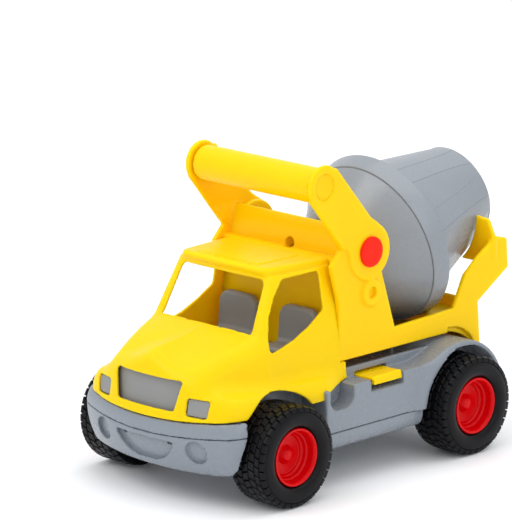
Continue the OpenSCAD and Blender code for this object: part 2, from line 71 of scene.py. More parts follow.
def join(a, b, radius=0.0):
    """a and b together: their common corner is filled to this radius."""
    return -meet(-a, -b, radius)


def cut(a, tool, radius=0.0):
    """a with the tool taken out."""
    return meet(a, -tool, radius)


def even(field, x, y, z, h=0.3):
    """A field divided by its own slope, so that it counts true millimetres."""
    here = field(x, y, z)
    slope = (field(x + h, y, z) - here) ** 2
    slope += (field(x, y + h, z) - here) ** 2
    slope += (field(x, y, z + h) - here) ** 2
    return here / np.clip(np.sqrt(slope) / h, 0.75, 2.5)


def slab(v, low, high):
    return np.maximum(low - v, v - high)


def bar(u, v, cu, cv, radius):
    """A round bar that crosses the u-v plane at (cu, cv)."""
    return np.hypot(u - cu, v - cv) - radius


def polygon(u, v, points, rounding=0.0):
    """Distance to a closed outline whose outward corners are rounded."""
    pts = np.array(points, float)
    if rounding:
        pts = shrunk(pts, rounding)
    best = np.full(u.shape, 1e18)
    inside = np.zeros(u.shape, bool)
    for (ax, ay), (bx, by) in zip(pts, np.roll(pts, -1, axis=0)):
        ex, ey = bx - ax, by - ay
        wx, wy = u - ax, v - ay
        t = np.clip((wx * ex + wy * ey) / (ex * ex + ey * ey), 0, 1)
        best = np.minimum(best, (wx - ex * t) ** 2 + (wy - ey * t) ** 2)
        crosses = (ay <= v) != (by <= v)
        if ey:
            inside ^= crosses & (u < ax + (v - ay) * ex / ey)
    distance = np.sqrt(best)
    return np.where(inside, -distance, distance) - rounding


def shrunk(pts, amount):
    """The outline with every edge moved inwards by amount."""
    edges = np.roll(pts, -1, axis=0) - pts
    area = np.sum(pts[:, 0] * np.roll(pts[:, 1], -1) - pts[:, 1] * np.roll(pts[:, 0], -1))
    turn = 1.0 if area > 0 else -1.0
    normal = np.stack([-edges[:, 1], edges[:, 0]], 1) * turn
    normal /= np.linalg.norm(normal, axis=1)[:, None]
    out = []
    for i in range(len(pts)):
        n0, n1 = normal[i - 1], normal[i]
        out.append(pts[i] + amount * (n0 + n1) / (1 + np.dot(n0, n1)))
    return np.array(out)


# ---------------------------------------------------------------- meshing

BLOCK = 8       # grid points along the edge of a block
BATCH = 400     # blocks worked out together
SETTLE = 3      # moves of the vertices onto the surface
CORNERS = np.array([(i, j, k) for i in (0, 1) for j in (0, 1) for k in (0, 1)])
EDGES = [(a, b) for a in range(8) for b in range(a + 1, 8)
         if np.abs(CORNERS[a] - CORNERS[b]).sum() == 1]


def sample(field, low, shape, step):
    """The field on a grid, worked out only in blocks near the surface."""
    blocks = [int(math.ceil(n / BLOCK)) for n in shape]
    grid = np.empty([n * BLOCK for n in blocks], np.float32)
    index = np.stack(np.meshgrid(*[np.arange(n) for n in blocks], indexing="ij"), -1)
    index = index.reshape(-1, 3)
    centre = low + (index * BLOCK + (BLOCK - 1) / 2) * step
    coarse = field(*centre.T)
    near = np.abs(coarse) < BLOCK * step * 1.35
    blocky = grid.reshape(blocks[0], BLOCK, blocks[1], BLOCK, blocks[2], BLOCK)
    blocky = blocky.transpose(0, 2, 4, 1, 3, 5)
    blocky[:] = np.where(coarse < 0, -1.0, 1.0).reshape(blocks)[..., None, None, None]
    local = np.stack(np.meshgrid(*[np.arange(BLOCK)] * 3, indexing="ij"), -1).reshape(-1, 3)
    chosen = index[near]
    for start in range(0, len(chosen), BATCH):
        part = chosen[start:start + BATCH]
        points = low + (part[:, None] * BLOCK + local[None]) * step
        values = field(*points.reshape(-1, 3).T).reshape(-1, BLOCK, BLOCK, BLOCK)
        blocky[part[:, 0], part[:, 1], part[:, 2]] = values
    return grid


def net(grid):
    """Surface nets: one vertex for each cell that the surface crosses."""
    inside = grid < 0
    cells = tuple(n - 1 for n in grid.shape)
    count = np.zeros(cells, np.int8)
    for i, j, k in CORNERS:
        count += inside[i:i + cells[0], j:j + cells[1], k:k + cells[2]]
    cell = np.argwhere((count > 0) & (count < 8))
    number = np.full(cells, -1, np.int32)
    number[tuple(cell.T)] = np.arange(len(cell))
    values = np.stack([grid[tuple((cell + c).T)] for c in CORNERS], 1).astype(float)
    total = np.zeros((len(cell), 3))
    weight = np.zeros(len(cell))
    for a, b in EDGES:
        va, vb = values[:, a], values[:, b]
        hit = (va < 0) != (vb < 0)
        t = np.where(hit, va / np.where(hit, va - vb, 1), 0)
        total += np.where(hit[:, None], CORNERS[a] + t[:, None] * (CORNERS[b] - CORNERS[a]), 0)
        weight += hit
    verts = cell + total / weight[:, None]
    faces = []
    for axis in range(3):
        one, two = [d for d in range(3) if d != axis]
        ahead = np.roll(inside, -1, axis)
        crossing = inside != ahead
        keep = [slice(1, -1)] * 3
        keep[axis] = slice(0, -1)
        where = np.argwhere(crossing[tuple(keep)])
        where += [0 if d == axis else 1 for d in range(3)]
        corner = []
        for da, db in ((0, 0), (1, 0), (1, 1), (0, 1)):
            c = where.copy()
            c[:, one] -= da
            c[:, two] -= db
            corner.append(number[tuple(c.T)])
        quad = np.stack(corner, 1)
        flip = inside[tuple(where.T)]
        if axis == 1:
            flip = ~flip
        quad[~flip] = quad[~flip][:, ::-1]
        faces.append(quad)
    return verts, np.concatenate(faces)


def gradient(field, p, h=0.05):
    """Slope of the field at points p, by central differences."""
    g = np.empty_like(p)
    for d in range(3):
        a, b = p.copy(), p.copy()
        a[:, d] += h
        b[:, d] -= h
        g[:, d] = (field(*a.T) - field(*b.T)) / (2 * h)
    return g


def metres(p):
    return (np.asarray(p, float) + [X_SHIFT, 0, 0]) / 1000


def moulding(name, field, low, high, step, body, node, finish):
    """A smooth moulded piece made from a distance field."""
    low = np.array(low, float) - step
    shape = np.ceil((np.array(high) + step - low) / step).astype(int) + 2
    verts, faces = net(sample(field, low, shape, step))
    p = low + verts * step
    for _ in range(SETTLE):
        g = gradient(field, p)
        size = np.maximum((g * g).sum(1), 0.25)
        move = -field(*p.T)[:, None] * g / size[:, None]
        length = np.linalg.norm(move, axis=1)[:, None]
        p += move * np.minimum(1, 0.6 * step / np.maximum(length, 1e-9))
    mesh = bpy.data.meshes.new(name)
    mesh.from_pydata(metres(p).tolist(), [], faces.tolist())
    mesh.update()
    mesh.shade_smooth()
    normal = gradient(field, p)
    normal /= np.maximum(np.linalg.norm(normal, axis=1), 1e-6)[:, None]
    mesh.normals_split_custom_set_from_vertices(normal.tolist())
    place(name, mesh, body, node, finish)


def place(name, mesh, body, node, finish):
    """Links a finished mesh, rides it on its body and gives it its material."""
    piece = bpy.data.objects.new(name, mesh)
    bpy.context.scene.collection.objects.link(piece)
    mesh.materials.clear()
    mesh.materials.append(finish)
    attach(piece, body)
    for n in ([node] if isinstance(node, str) else node):
        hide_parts(n)


# ---------------------------------------------------------------- materials

def nodes_of(name):
    mat = bpy.data.materials.new(name)
    mat.use_nodes = True
    tree = mat.node_tree
    tree.nodes.clear()
    out = tree.nodes.new("ShaderNodeOutputMaterial")
    shader = tree.nodes.new("ShaderNodeBsdfPrincipled")
    tree.links.new(shader.outputs[0], out.inputs[0])
    return mat, tree, shader


def noise(tree, scale, detail=3.0):
    where = tree.nodes.new("ShaderNodeTexCoord")
    n = tree.nodes.new("ShaderNodeTexNoise")
    n.inputs["Scale"].default_value = scale
    n.inputs["Detail"].default_value = detail
    tree.links.new(where.outputs["Object"], n.inputs["Vector"])
    return n


def ramp(tree, source, stops):
    r = tree.nodes.new("ShaderNodeValToRGB")
    r.color_ramp.elements[0].position = stops[0][0]
    r.color_ramp.elements[1].position = stops[-1][0]
    for at, _ in stops[1:-1]:
        r.color_ramp.elements.new(at)
    for element, (at, colour) in zip(r.color_ramp.elements, stops):
        element.position = at
        element.color = (*colour, 1)
    tree.links.new(source, r.inputs[0])
    return r


def grey(v):
    return (v, v, v)


def shade(colour, factor):
    return tuple(c * factor for c in colour)


def plastic(name, colour, rough=0.32, bump=0.06, grain=2600.0, spread=0.05,
            specular=0.5, scatter=0.0):
    """Moulded plastic: faint flow marks in the colour, a fine satin grain."""
    mat, tree, shader = nodes_of(name)
    flow = noise(tree, 14.0, 4.0)
    tone = ramp(tree, flow.outputs["Fac"], [
        (0.3, shade(colour, 1 - spread)), (0.5, colour), (0.7, shade(colour, 1 + spread * 0.6))])
    tree.links.new(tone.outputs[0], shader.inputs["Base Color"])
    wear = noise(tree, 90.0, 6.0)
    gloss = ramp(tree, wear.outputs["Fac"], [
        (0.3, grey(rough - 0.05)), (0.7, grey(rough + 0.07))])
    tree.links.new(gloss.outputs[0], shader.inputs["Roughness"])
    fine = noise(tree, grain, 2.0)
    lift = tree.nodes.new("ShaderNodeBump")
    lift.inputs["Strength"].default_value = bump
    lift.inputs["Distance"].default_value = 0.0002
    tree.links.new(fine.outputs["Fac"], lift.inputs["Height"])
    tree.links.new(lift.outputs[0], shader.inputs["Normal"])
    shader.inputs["Specular IOR Level"].default_value = specular
    if scatter:
        shader.inputs["Subsurface Weight"].default_value = scatter
        shader.inputs["Subsurface Radius"].default_value = (1.0, 0.65, 0.05)
        shader.inputs["Subsurface Scale"].default_value = 0.011
    return mat


def metal(name, colour, rough=0.25):
    """Drawn metal: fine streaks in gloss and tone."""
    mat, tree, shader = nodes_of(name)
    drawn = noise(tree, 700.0, 3.0)
    gloss = ramp(tree, drawn.outputs["Fac"], [
        (0.3, grey(rough - 0.08)), (0.7, grey(rough + 0.1))])
    tree.links.new(gloss.outputs[0], shader.inputs["Roughness"])
    tone = ramp(tree, drawn.outputs["Fac"], [(0.3, shade(colour, 0.9)), (0.7, colour)])
    tree.links.new(tone.outputs[0], shader.inputs["Base Color"])
    shader.inputs["Metallic"].default_value = 1.0
    return mat


YELLOW = plastic("yellow plastic", (0.93, 0.55, 0.0), rough=0.36, bump=0.012, spread=0.02,
                 specular=0.12, scatter=0.55)
GREY = plastic("grey plastic", (0.205, 0.230, 0.262), rough=0.27, bump=0.015, specular=0.4)
GREY_DRUM = plastic("grey drum plastic", (0.235, 0.258, 0.285), rough=0.27, bump=0.012)
GREY_PANEL = plastic("grey panel plastic", (0.22, 0.225, 0.222), rough=0.5, bump=0.25,
                     grain=1400.0)
GREY_SEAT = plastic("grey seat plastic", (0.25, 0.26, 0.26), rough=0.45)
RED_HUB = plastic("red hub plastic", (0.58, 0.0, 0.002), rough=0.25, specular=0.14)
RED_PIN = plastic("red pin plastic", (0.95, 0.016, 0.004), rough=0.4, specular=0.1)
RUBBER = plastic("black tyre", (0.003, 0.003, 0.0038), rough=0.33, bump=0.05, grain=1500.0,
                 spread=0.2, specular=0.14)
WHITE = plastic("white bush plastic", (0.75, 0.75, 0.72), rough=0.4)
STEEL = metal("drawn steel", (0.6, 0.6, 0.62))


# ---------------------------------------------------------------- cab

NOSE_X = -19.0
NOSE_R = 203.0
SKIN = 2.6
CAB_JOINT = 22.0
FRAME_LOW = 100.0
BONNET_BACK = 109.0
FRONT_ARCH_R = 51.0
SEAT_Y = 35.5
SEAT_HALF = 22.0


def nose_arc(x, y, inset):
    """The round front of the truck, seen from above."""
    return np.hypot(x - NOSE_X, y) - (NOSE_R - inset)


def bonnet_lean(z):
    """How far the bonnet's face leans back at a height."""
    return 4.2 + 0.14 * (z - 81)


def fender_lean(z):
    return 0.15 * (z - 79)


def screen_bow(y):
    """How far the windscreen curves back from its middle."""
    return (y / 56) ** 2 * 2.0


def bumper_rise(y):
    """How far the bumper's seams climb from its middle to its sides."""
    return 4.5 * (y / 88) ** 2


def bonnet_top(x, y):
    t = x - BONNET_BACK
    crown = 138 - 0.29 * t - 0.0023 * t * t
    edge = np.maximum(np.abs(y) - 34, 0)
    return crown - 0.0006 * y * y - 0.002 * edge * edge


def bonnet(x, y, z):
    t = np.clip(x - BONNET_BACK, -60, 80)
    ahead, behind = np.maximum(t, 0), np.minimum(t, 0)
    half = 66 - 0.19 * ahead - 0.0007 * ahead * ahead + 0.1 * behind
    flare = 0.27 + 0.003 * behind
    side = (y - half - flare * (bonnet_top(x, 0 * y) - 4 - z)) / 1.04
    lean = bonnet_lean(z) - 0.36 * soft_step_up(80 - z, 5)
    front = nose_arc(x, y, 1.5) + lean
    top = (z - bonnet_top(x, y)) * 0.9
    body = meet(top, side, 10)
    return meet(body, front, 5)


def fender(x, y, z):
    top = z - (101.5 - 0.0008 * (x - 100) ** 2) + 0.45 * (y - 66)
    nose = meet(nose_arc(x, y, 2.0) + fender_lean(z), y - 88, 18)
    skirt = (y - 88 - (x - 51) * 16 / 35) * 0.91
    side = np.maximum(nose, skirt)
    return meet(top * 0.9, side, 9)


def greenhouse(x, y, z):
    side = (y - (73.3 - 0.19 * soft_step_up(z - 110, 20) - 0.03 * (x - 36))) * 0.98
    screen = (x - 111 + 0.49 * (z - 134.5) + screen_bow(y)) * 0.898
    cabin = meet(meet(side, screen, 9), z - 182)
    roof_side = y - (57.2 - 0.085 * (x - 30))
    visor = (x - 88 - 0.5 * (z - 178.5) + (y / 50) ** 2 * 1.5) * 0.894
    roof = meet(meet(roof_side, visor, 9), 178.5 - z, 1.2)
    roof = meet(roof, z - 188.8 + (y / 56) ** 2 * 0.8, 5)
    panel = meet(polygon(x, y, [(34, -60), (84, -60), (84, 37), (34, 37)], 6), z - 189.6, 0.8)
    roof = join(roof, np.maximum(panel, 186 - z), 0.6)
    return join(cabin, roof, 2)


def cab_solid(x, y, z):
    body = join(greenhouse(x, y, z), bonnet(x, y, z), 3.5)
    body = join(body, fender(x, y, z), 6)
    return meet(meet(body, behind_joint(x, z)), 16 - x)


def behind_joint(x, z):
    """Negative ahead of the stepped joint between cab and mixer frame."""
    return np.minimum(CAB_JOINT - x, z - FRAME_LOW)


def cab_openings(x, y, z):
    screen = polygon(y, z, [(-80, 100), (56, 100), (52.6, 133), (47.6, 178.2), (-80, 178.2)], 6)
    screen = meet(screen, slab(x, 60, 110.5 - screen_bow(y)))
    screen = np.maximum(screen, 124 - z)
    window = polygon(x, z, [
        (78, 179), (36, 179.5), (36, 147), (54, 136), (72, 128), (90, 123.5),
        (103.5, 121), (101, 135), (96.5, 150), (88, 166)], 4)
    window = meet(window, slab(y, 40, 90))
    grille = polygon(y, z, [(-60, 106.4), (-60, 81.2), (32.9, 81.2), (38.8, 106.4)], 3)
    lamp = polygon(y, z, [(44.4, 94.3), (44.1, 79.3), (63.4, 78.5), (65.3, 93.3)], 3)
    front = meet(np.minimum(grille, lamp), slab(x, 155, 200))
    return np.minimum(np.minimum(screen, window), front)


def cab_field(x, y, z):
    y = np.abs(y)
    solid = even(cab_solid, x, y, z)
    shell = meet(solid, -(solid + SKIN), 0.3)
    shell = cut(shell, cab_openings(x, y, z), 0.9)
    shell = cut(shell, bar(x, z, AXLE_X, AXLE_Z, FRONT_ARCH_R), 0.9)
    low = np.where(x > 51, 77.0, 82 + (51 - x) * 4 / 35)
    low = np.where(x > 135, 73.7 + bumper_rise(y), low)
    shell = meet(shell, low - z, 0.9)
    spine = np.maximum(np.maximum(y - 64.5, z - 88.4), x - 151)
    return cut(shell, spine)


moulding("cab_shell_moulding", cab_field, (14, -91, 70), (186, 91, 192), 1.25,
         "truck", ["cab_shell", "cab_roof"], YELLOW)


# ---------------------------------------------------------------- front panel and seats

def panel_field(x, y, z):
    y = np.abs(y)
    lean = np.where(y < 41, bonnet_lean(z), fender_lean(z))
    face = nose_arc(x, y, 1.5) + lean + 2.0
    skin = even(cab_solid, x, y, z)
    depth = np.maximum(face, skin + 1.7)
    hidden = np.maximum(face, skin + SKIN + 0.15)
    grille = polygon(y, z, [(-60, 106.0), (-60, 81.6), (32.5, 81.6), (38.3, 106.0)], 2.6)
    lamp = polygon(y, z, [(44.8, 93.9), (44.5, 79.7), (63.0, 78.9), (64.9, 92.9)], 2.6)
    shown = np.maximum(np.minimum(grille, lamp), slab(depth, -3.0, 0))
    back = polygon(y, z, [(-60, 107), (-60, 78), (66, 78), (67, 95), (42, 96), (40, 107)], 1)
    return np.minimum(shown, np.maximum(back, slab(hidden, -2.6, 0)))


moulding("front_panel_moulding", panel_field, (150, -70, 74), (184, 70, 112), 1.0,
         "truck", "front_panel", GREY_PANEL)


def seat_field(x, y, z):
    y = np.abs(y) - SEAT_Y
    lean = 0.06 * (z - 112)
    outline = polygon(y, z, [
        (-SEAT_HALF, 100), (SEAT_HALF, 100), (21.5, 144), (-21.5, 144)], 11)
    dish = 1.6 * np.clip(1 - (y / 18) ** 2, 0, 1) * np.clip((z - 108) / 14, 0, 1)
    back = meet(outline, slab(x + lean, 30, 38.5 - dish), 3)
    base = meet(slab(x, 34, 63), slab(z, 103, 113.5 - 0.08 * (63 - x)), 3)
    base = meet(base, np.abs(y) - SEAT_HALF, 4)
    floor_ = np.maximum(slab(x, 26, 98), slab(z, 101, 104.5))
    floor_ = meet(floor_, np.abs(y + SEAT_Y) - 64, 1)
    return join(join(back, base, 4), floor_, 2)


moulding("cab_interior_moulding", seat_field, (24, -66, 99), (100, 66, 150), 1.5,
         "truck", "cab_interior", GREY_SEAT)


# ---------------------------------------------------------------- mixer frame

GRIP = (42.0, 253.0)
PLATE_IN, PLATE_OUT = 66.0, 70.5    # faces of the side plates
CROSS_Y = 67.0                      # how far the cross pieces reach into the plates
STUD = (-16.0, 153.5)
RECESS = (-116.0, 68.0)
RECESS_R = 36.1
RECESS_FLOOR = 66.6

DRUM_X, DRUM_Z = -23.2, 152.3
DRUM_SLOPE = math.radians(15.3)


def drum_place(x, y, z):
    """Station along the drum's axis, and distance from it."""
    dx, dz = x - DRUM_X, z - DRUM_Z
    along = -dx * math.cos(DRUM_SLOPE) + dz * math.sin(DRUM_SLOPE)
    up = dx * math.sin(DRUM_SLOPE) + dz * math.cos(DRUM_SLOPE)
    return along, np.hypot(up, y)


def drum_room(x, y, z):
    """What the turning drum sweeps, with a gap around it."""
    along, r = drum_place(x, y, z)
    collar = np.maximum(r - 77, along - 88)
    cone = (r - 67.4 + np.maximum(along - 87, 0) * 0.259) * 0.968
    return np.maximum(np.minimum(collar, cone), 40 - along)


def frame_field(x, side, z):
    y = np.abs(side)
    plate = polygon(x, z, [
        (22, 100), (22, 147), (32, 183), (19.7, 196), (58.1, 242.5), (27.6, 267.1),
        (-20.4, 211.5), (-37.0, 186), (-29.4, 171.3), (-46.9, 117.3), (-121.2, 120),
        (-135.3, 147), (-150.6, 159.1), (-175.5, 174.4), (-188.6, 171), (-190.9, 145),
        (-152.2, 120.9), (-155.5, 82), (-146, 70), (-112, 100)], 1.5)
    disc = bar(x, z, *GRIP, 18.5)
    boss = bar(x, z, *PIVOT, 24.5)
    plate = np.minimum(plate, boss)
    plate = cut(plate, bar(x, z, -AXLE_X, AXLE_Z, 57))
    # an arched recess above the rear wheel, with a wall behind it
    lip = np.maximum(plate, np.maximum(bar(x, z, *RECESS, 39), x + 110.5))
    lip = np.maximum(lip, slab(y, 62.5, RECESS_FLOOR))
    high = np.clip((z - 200) / 12, 0, 1) * 3.2
    plate = meet(plate, slab(y, PLATE_IN + high, PLATE_OUT), 1.0)
    sunk = np.maximum(bar(x, z, *RECESS, RECESS_R), np.maximum(RECESS_FLOOR - y, x + 113.5))
    plate = cut(np.minimum(plate, lip), sunk, 0.5)
    arm = polygon(x, z, [(19.7, 196), (58.1, 242.5), (27.6, 267.1), (-20.4, 211.5), (-13, 190)], 1)
    arm = join(np.minimum(arm, disc), boss, 6)
    arm = meet(arm, slab(y, PLATE_IN + high, 73), 1.7)
    body = join(plate, arm, 1.5)
    stud = meet(bar(x, z, *STUD, 11.5), slab(y, PLATE_IN, 73.5), 1.6)
    body = join(body, stud, 2.5)
    # handle, its ends swelling into the arms
    grip = meet(bar(x, z, *GRIP, 15), y - CROSS_Y)
    body = join(body, grip, 3)
    # curved wall between the arms, with a notch at the roof
    angle = np.arctan2(z - PIVOT[1], x - PIVOT[0])
    wall = slab(bar(x, z, *PIVOT, 0), 24, 27)
    ends = slab(angle * 25, -0.87 * 25, 0.984 * 25)
    wall = meet(meet(wall, ends, 1.2), y - CROSS_Y)
    body = join(body, wall, 2.5)
    shelf = np.maximum(np.maximum(slab(x, 11, CAB_JOINT), slab(z, 182, 187.5)), y - CROSS_Y)
    flange = np.maximum(np.maximum(slab(x, 18.3, CAB_JOINT), slab(z, 101, 184)),
                        slab(y, 55, CROSS_Y))
    body = join(body, np.minimum(shelf, flange), 1)
    # floor, rear deck and rear wall
    floor_ = np.maximum(slab(x, -85, CAB_JOINT), slab(z, FRAME_LOW, 103))
    deck = np.maximum(slab(x, -156, -112), slab(z, 108, 111))
    back = np.maximum(slab(x, -156, -153), slab(z, 88, 121))
    tray = np.maximum(np.minimum(np.minimum(floor_, deck), back), y - CROSS_Y)
    body = join(body, tray, 2)
    rest = polygon(y, z, [
        (30, 150), (67, 150), (70.4, 158), (70.4, 176), (64, 189), (45, 191)], 1.5)
    rest = meet(rest, slab(x, -174, -170), 0.8)
    body = join(body, rest, 2.5)
    # blind round socket in the curved wall
    post = np.hypot(side - 4.8, z - 190.2)
    body = join(body, np.maximum(post - 6.8, slab(x, 2, 12)), 1)
    body = cut(body, np.maximum(post - 4.9, 4 - x), 0.6)
    body = cut(body, drum_room(x, y, z), 0.8)
    body = cut(body, meet(bar(x, z, *STUD, 4.8), 70 - y), 0.8)
    body = cut(body, meet(bar(x, z, *GRIP, 11), 71.6 - y), 0.7)
    return cut(body, bar(x, z, *PIVOT, PIN_BORE))


moulding("mixer_frame_moulding", frame_field, (-193, -75, 78), (62, 75, 273), 1.7,
         "truck", "mixer_frame", YELLOW)


# ---------------------------------------------------------------- chassis

LEDGE = 85.0
SEAM = 47.5           # height at which the two halves meet
SPINE_Y = 62.0        # half width of the body between the wheels
REAR_ARCH_R = 49.5
BUMPER_WAIST = 65.0   # height at which the bumper reaches furthest out
BUMPER_CURVE = 0.0075
NOTCH = (-35.6, 3.6)  # ends of the latch's notch


def bumper_solid(x, y, z):
    rise = z - BUMPER_WAIST
    drawn_in = np.where(rise > 0, 0.025, BUMPER_CURVE) * rise * rise
    body = meet(nose_arc(x, y, 0) + drawn_in, y - 92 + 0.5 * drawn_in, 11)
    well = np.minimum(bar(x, z, AXLE_X, AXLE_Z, 46), x - 150 - (78 - z) * 0.15)
    return cut(body, well, 0.8)


def bumper_seam(y):
    return 60 + bumper_rise(y)


def band_field(x, y, z):
    solid = even(bumper_solid, x, y, z)
    shell = meet(solid, -(solid + 3), 0.2)
    top = z - (72.5 + bumper_rise(y))
    return meet(meet(shell, top, 0.8), bumper_seam(y) + 0.2 - z, 0.5)


def sponson_outline(x, z):
    """Between the wheel arches."""
    return cut(slab(x, -AXLE_X, 58), bar(x, z, AXLE_X, AXLE_Z, FRONT_ARCH_R + 1))


def upper_field(x, y, z):
    y = np.abs(y)
    side = meet(meet(sponson_outline(x, z), y - SIDE_Y, 0.5), z - LEDGE, 1.6)
    mudguard = meet(bar(x, z, -AXLE_X, AXLE_Z, 54), y - SIDE_Y, 2.0)
    side = join(side, mudguard, 14)
    side = cut(side, np.maximum(bar(x, z, -AXLE_X, AXLE_Z, REAR_ARCH_R), SPINE_Y - y), 0.8)
    side = np.maximum(side, (-(x + AXLE_X)) * 0.4226 - (z - AXLE_Z) * 0.9063)
    rail = meet(polygon(x, z, [
        (14, 60), (14, 93.5), (-87, 93.5), (-81, 89.5), (-72, 86.5), (-60, 84), (-60, 60)]),
        slab(y, 68, 71), 0.5)
    side = join(side, rail, 1.2)
    spine = meet(slab(x, -160, 150), slab(y, -SPINE_Y, SPINE_Y), 1.5)
    spine = meet(spine, z - 88, 1.5)
    bridge = np.maximum(slab(x, -86, 14), np.maximum(slab(y, 0, 70), z - 88))
    body = join(np.minimum(spine, bridge), side, 1)
    pocket = polygon(x, z, [(24.5, 99), (24.5, 66.5), (52.5, 66.5), (52.5, 99)], 10)
    body = cut(body, np.maximum(pocket, 72 - y), 1.2)
    notch = meet(slab(x, *NOTCH), np.maximum(slab(z, 75.3, 90), slab(y, 72.5, 95)), 0.4)
    slot = np.maximum(slab(x, *NOTCH), np.maximum(slab(z, 82.4, 88.2), slab(y, 56, 74)))
    body = cut(body, np.minimum(notch, slot), 0.6)
    hollow = np.maximum(np.maximum(slab(x, -157, 147), y - 59), z - 85)
    body = cut(body, hollow)
    body = meet(body, SEAM + 0.15 - z, 0.5)
    return np.minimum(body, band_field(x, y, z))


moulding("chassis_upper_moulding", upper_field, (-166, -93, 45), (187, 93, 101), 1.6,
         "truck", "chassis_upper", GREY)


def lower_field(x, y, z):
    y = np.abs(y)
    side = meet(meet(sponson_outline(x, z), y - (SIDE_Y - 0.2), 0.5), 31 - z, 12)
    side = cut(side, np.maximum(bar(x, z, -AXLE_X, AXLE_Z, REAR_ARCH_R), SPINE_Y - y), 0.8)
    spine = meet(meet(slab(x, -160, 158), y - SPINE_Y, 2), 31 - z, 2)
    body = meet(join(side, spine, 1), z - SEAM + 0.15, 0.5)
    solid = meet(even(bumper_solid, x, y, z), 27.5 - z, 7)
    shell = meet(solid, -(solid + 3), 0.2)
    shell = meet(shell, z - bumper_seam(y) + 0.2, 0.5)
    face = nose_arc(x, y, 0) + BUMPER_CURVE * (z - BUMPER_WAIST) ** 2
    mouth = polygon(y, z, [
        (-60, 55.5), (-60, 36), (10, 36), (20, 39), (28, 45.5), (32.5, 52), (33, 55.5)], 1.5)
    recess = np.maximum(mouth, -(face + 4.2))
    lamp = np.maximum(np.hypot(y - 54, z - 49.5) - 9.6, -(face + 3.8))
    solid_front = np.maximum(solid, -(face + 7))
    shell = np.minimum(shell, np.maximum(solid_front, z - bumper_seam(y) + 0.6))
    shell = cut(shell, np.minimum(recess, lamp), 0.7)
    slots = np.maximum(np.maximum(slab(y, 24, 29), slab(z, 52.3, 54.2)), -(face + 6.2))
    shell = cut(shell, slots, 0.3)
    # bores near the wheels only; further in, the axles run through the plastic
    for axle in (-AXLE_X, AXLE_X):
        body = cut(body, np.maximum(bar(x, z, axle, AXLE_Z, 4.6), 40 - y))
    return np.minimum(body, shell)


moulding("chassis_lower_moulding", lower_field, (-166, -93, 25), (187, 93, 68), 1.3,
         "truck", "chassis_lower", GREY)


# ---------------------------------------------------------------- latches

def latch_field(x, y, z):
    plate = polygon(x, y, [
        (-34, 58), (2, 58), (3, 75.5), (0.6, 87), (-0.6, 91.5), (-34.6, 91.5),
        (-33.6, 78), (-34, 72)], 0.6)
    top = meet(plate, slab(z, 83.4, 86.2), 0.5)
    face = (y - 88.7 - (86.2 - z) * 0.27) * 0.965
    lip = meet(slab(x, -34.6, -0.6), np.maximum(face, 86.2 - y), 0.5)
    lip = meet(lip, slab(z, 79.5, 86.2), 0.5)
    body = meet(join(top, lip, 0.8), face, 0.6)
    holes = np.minimum(np.hypot(x + 17, y - 72.4) - 1.8, np.hypot(x + 26, y - 72.4) - 1.8)
    return cut(body, np.maximum(holes, slab(z, 84.5, 90)), 0.2)


def latch_right_field(x, y, z):
    return latch_field(x, -y, z)


moulding("latch_left_moulding", latch_field, (-35, 56, 78), (3, 92, 90), 0.8,
         "left_latch", "latch_left", YELLOW)
moulding("latch_right_moulding", latch_right_field, (-35, -92, 78), (3, -56, 90), 0.8,
         "right_latch", "latch_right", YELLOW)


# ---------------------------------------------------------------- turned pieces

def ring_faces(rings, turns):
    """Quads that join closed rings of corners, and the last ring to the first."""
    faces = []
    for i in range(rings):
        a, b = i * turns, (i + 1) % rings * turns
        for j in range(turns):
            k = (j + 1) % turns
            faces.append((a + j, a + k, b + k, b + j))
    return faces


def turned(profile, turns):
    """Rings of a closed outline (radius, station) about +Z."""
    angle = np.arange(turns) * 2 * math.pi / turns
    r = np.array([p[0] for p in profile], float)[:, None] * np.ones(turns)
    s = np.array([p[1] for p in profile], float)[:, None] * np.ones(turns)
    points = np.stack([r * np.cos(angle), r * np.sin(angle), s], -1).reshape(-1, 3)
    return points, ring_faces(len(profile), turns)


def softened(points, radius=0.6, steps=3):
    """A closed outline with each corner turned into a small curve."""
    pts = np.array(points, float)
    out = []
    for i, p in enumerate(pts):
        before, after = pts[i - 1] - p, pts[(i + 1) % len(pts)] - p
        la, lb = np.linalg.norm(before), np.linalg.norm(after)
        reach = min(radius, 0.45 * la, 0.45 * lb)
        a, b = p + before / la * reach, p + after / lb * reach
        for t in np.linspace(0, 1, steps + 1):
            out.append((1 - t) ** 2 * a + 2 * t * (1 - t) * p + t * t * b)
    return out


def along_axis(points, origin, z_axis, x_axis):
    z_axis, x_axis = np.array(z_axis, float), np.array(x_axis, float)
    y_axis = np.cross(z_axis, x_axis)
    return np.array(origin) + points @ np.stack([x_axis, y_axis, z_axis])


def turned_mesh(name, points, faces, stand, crease):
    """A mesh about an axis, sharp where faces meet at more than crease degrees.

    stand is the axis's origin, its direction and the direction of angle zero.
    """
    mesh = bpy.data.meshes.new(name)
    mesh.from_pydata(metres(along_axis(points, *stand)).tolist(), [], faces)
    mesh.update()
    mesh.shade_smooth()
    mesh.set_sharp_from_angle(angle=math.radians(crease))
    return mesh


def lathe(name, profile, turns, stand, body, node, finish):
    mesh = turned_mesh(name, *turned(profile, turns), stand, 38)
    place(name, mesh, body, node, finish)


DRUM_AXIS = (-math.cos(DRUM_SLOPE), 0, math.sin(DRUM_SLOPE))
DRUM_UP = (math.sin(DRUM_SLOPE), 0, math.cos(DRUM_SLOPE))
DRUM_STAND = ((DRUM_X, 0, DRUM_Z), DRUM_AXIS, DRUM_UP)

COLLAR_R, THROAT_R, MOUTH_R, SEAM_R = 76.2, 66.2, 42.0, 72.1
CONE_S = 86.9     # station at which the cone leaves the collar
RIM_S = 181.0     # station of the mouth's rim

